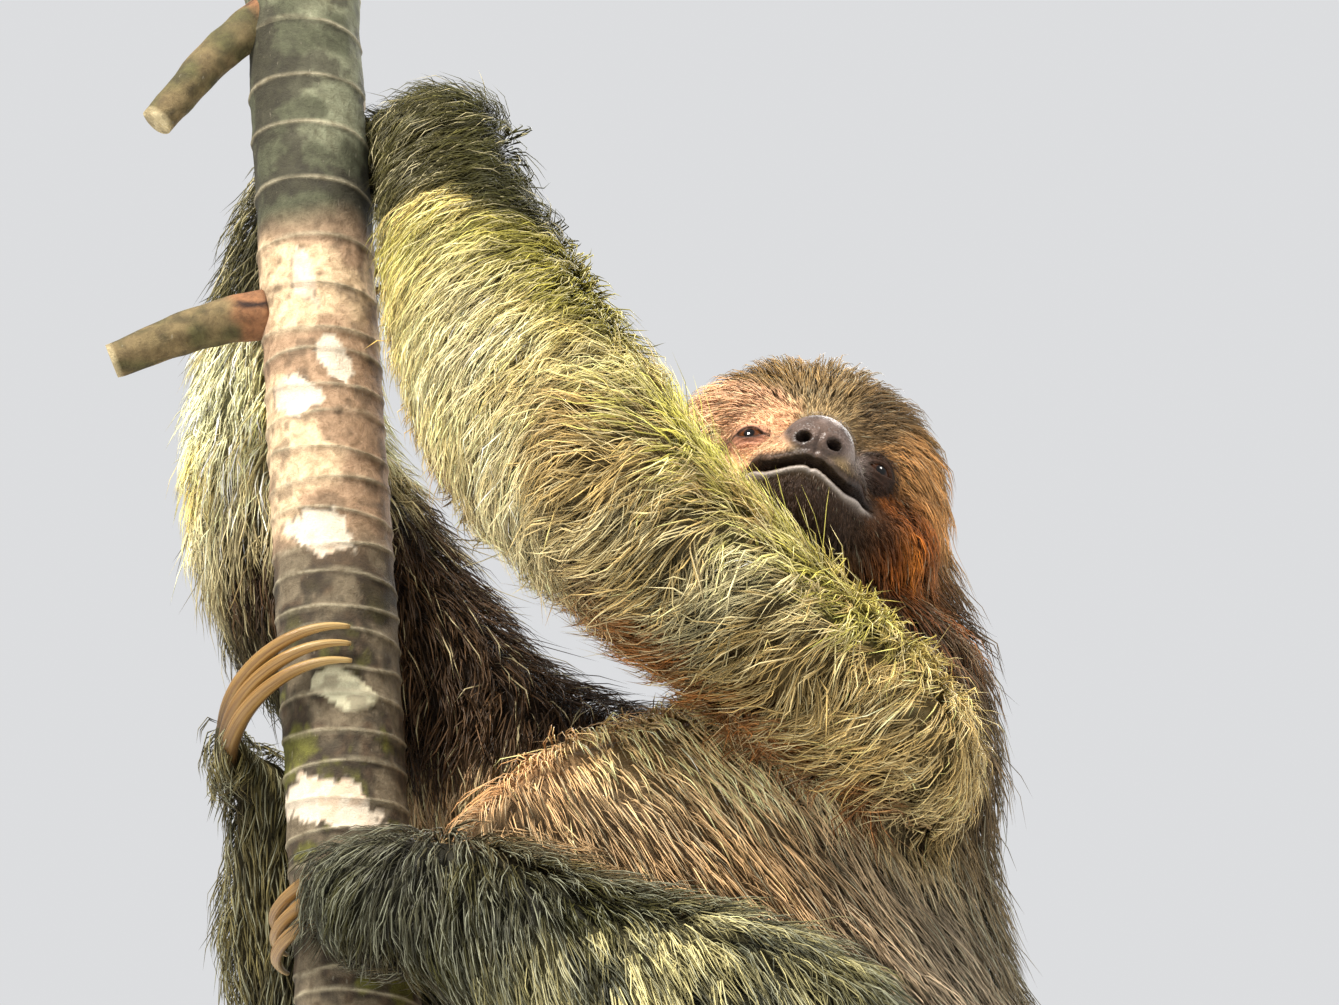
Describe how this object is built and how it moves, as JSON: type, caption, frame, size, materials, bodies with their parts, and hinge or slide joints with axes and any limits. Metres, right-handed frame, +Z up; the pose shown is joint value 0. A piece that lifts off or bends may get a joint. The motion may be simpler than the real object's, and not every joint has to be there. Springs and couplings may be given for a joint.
{
  "type": "three-toed sloth",
  "caption": "Still life-size model of a brown-throated three-toed sloth hugging a cut length of tree trunk on a plain display stand.",
  "frame": {"origin": "centre of the stand's underside, on the floor", "axes": "+Z up; -Y towards the sloth's left side and the viewer; -X from the sloth's chest towards the trunk"},
  "size_m": [0.4, 0.29, 0.745],
  "materials": {
    "fur_brown": "long coarse brown hair, tan on the belly, rusty on the throat",
    "fur_olive": "long straw and olive-green hair with algae, dark at the wrists",
    "fur_grey": "long dark grey-green hair with pale tips",
    "claw": "smooth ochre horn",
    "eye": "wet dark eye",
    "bark": "grey ringed bark with pale peeled patches",
    "stand_wood": "dark oiled wood",
    "stand_steel": "brushed steel"
  },
  "bodies": {
    "root": {"torso": "fur_brown", "neck": "fur_brown", "head": "fur_brown", "lower_jaw": "fur_brown", "tail": "fur_brown", "arm_left_upper": "fur_olive", "arm_left_fore": "fur_olive", "hand_left": "fur_olive", "arm_right_upper": "fur_olive", "arm_right_fore": "fur_olive", "hand_right": "fur_olive", "leg_left_thigh": "fur_grey", "leg_left_shin": "fur_grey", "foot_left": "fur_grey", "leg_right_thigh": "fur_grey", "leg_right_shin": "fur_grey", "foot_right": "fur_grey", "hand_left_claw_1": "claw", "hand_left_claw_2": "claw", "hand_left_claw_3": "claw", "hand_right_claw_1": "claw", "hand_right_claw_2": "claw", "hand_right_claw_3": "claw", "foot_left_claw_1": "claw", "foot_left_claw_2": "claw", "foot_left_claw_3": "claw", "foot_right_claw_1": "claw", "foot_right_claw_2": "claw", "foot_right_claw_3": "claw", "eye_left": "eye", "eye_right": "eye", "perch_trunk": "bark", "perch_stalk_low": "bark", "perch_stalk_high": "bark", "stand_base": "stand_wood", "stand_rod": "stand_steel"}
  },
  "joints": []
}
